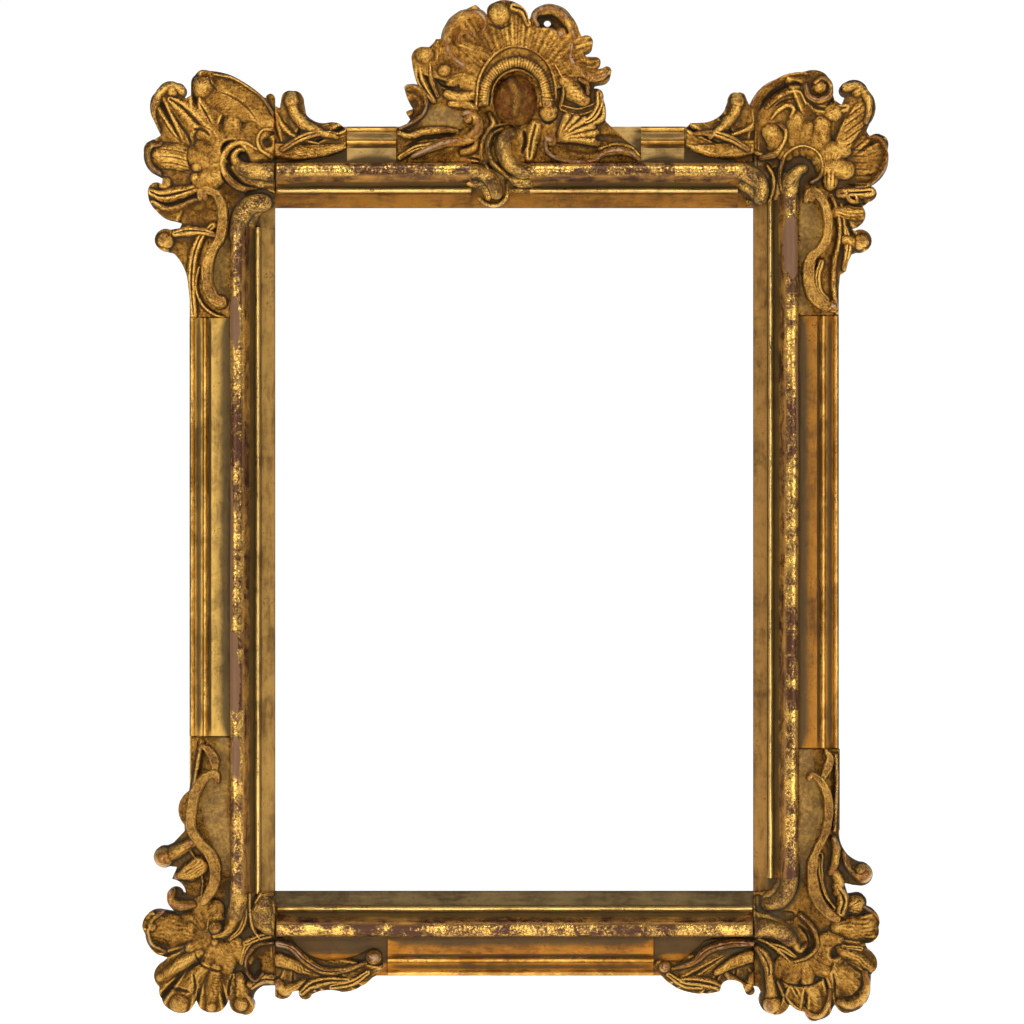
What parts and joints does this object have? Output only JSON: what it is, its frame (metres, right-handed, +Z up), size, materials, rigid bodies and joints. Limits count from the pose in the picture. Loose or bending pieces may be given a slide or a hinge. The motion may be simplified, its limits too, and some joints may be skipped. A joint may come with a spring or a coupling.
{
  "type": "picture frame",
  "caption": "Upright carved and gilded picture frame with rocaille shells at the corners, a pierced shell crest, a rebate for the picture and swinging hanger rings on the back.",
  "frame": {"origin": "on the plane of the frame's back, behind the middle of its opening", "axes": "X to the right and Z up as seen from the front, Y from the front to the back"},
  "size_m": [0.7077, 0.049, 0.9682],
  "materials": {
    "gilded_wood": "water gilding over red bole, worn and toned",
    "peg_wood": "bare, aged",
    "hanger_steel": "dull, dark with age",
    "ring_brass": "tarnished",
    "button_brass": "tarnished",
    "screw_steel": "dull, slotted"
  },
  "bodies": {
    "frame": {"left_stile": "gilded_wood", "right_stile": "gilded_wood", "top_rail": "gilded_wood", "bottom_rail": "gilded_wood", "top_left_shell": "gilded_wood", "top_left_side_scroll": "gilded_wood", "top_left_spray": "gilded_wood", "top_right_shell": "gilded_wood", "top_right_side_scroll": "gilded_wood", "top_right_spray": "gilded_wood", "bottom_left_shell": "gilded_wood", "bottom_left_side_scroll": "gilded_wood", "bottom_left_spray": "gilded_wood", "bottom_right_shell": "gilded_wood", "bottom_right_side_scroll": "gilded_wood", "bottom_right_spray": "gilded_wood", "crest_board": "gilded_wood", "crest_arch": "gilded_wood", "crest_cabochon": "gilded_wood", "crest_left_hook": "gilded_wood", "crest_right_hook": "gilded_wood", "crest_left_leaf": "gilded_wood", "crest_right_fan": "gilded_wood", "crest_left_roll_end": "gilded_wood", "crest_right_roll_curl": "gilded_wood", "corner_pegs": "peg_wood", "left_hanger_strap": "hanger_steel", "right_hanger_strap": "hanger_steel", "hanger_screws": "screw_steel", "turn_button_screws": "screw_steel"},
    "left_ring": {"left_hanger_ring": "ring_brass"},
    "right_ring": {"right_hanger_ring": "ring_brass"},
    "upper_left_button": {"upper_left_turn_button": "button_brass"},
    "upper_right_button": {"upper_right_turn_button": "button_brass"},
    "lower_left_button": {"lower_left_turn_button": "button_brass"},
    "lower_right_button": {"lower_right_turn_button": "button_brass"}
  },
  "joints": [
    {"name": "left_ring_swing", "type": "hinge", "parent": "frame", "child": "left_ring", "pos_m": [-0.272, 0.0035, 0.205], "axis": [1, 0, 0], "range_deg": [0, 175]},
    {"name": "right_ring_swing", "type": "hinge", "parent": "frame", "child": "right_ring", "pos_m": [0.272, 0.0035, 0.205], "axis": [1, 0, 0], "range_deg": [0, 175]},
    {"name": "upper_left_button_turn", "type": "hinge", "parent": "frame", "child": "upper_left_button", "pos_m": [-0.2605, 0.0015, 0.27], "axis": [0, 1, 0], "continuous": true},
    {"name": "upper_right_button_turn", "type": "hinge", "parent": "frame", "child": "upper_right_button", "pos_m": [0.2605, 0.0015, 0.27], "axis": [0, 1, 0], "continuous": true},
    {"name": "lower_left_button_turn", "type": "hinge", "parent": "frame", "child": "lower_left_button", "pos_m": [-0.2605, 0.0015, -0.27], "axis": [0, 1, 0], "continuous": true},
    {"name": "lower_right_button_turn", "type": "hinge", "parent": "frame", "child": "lower_right_button", "pos_m": [0.2605, 0.0015, -0.27], "axis": [0, 1, 0], "continuous": true}
  ]
}
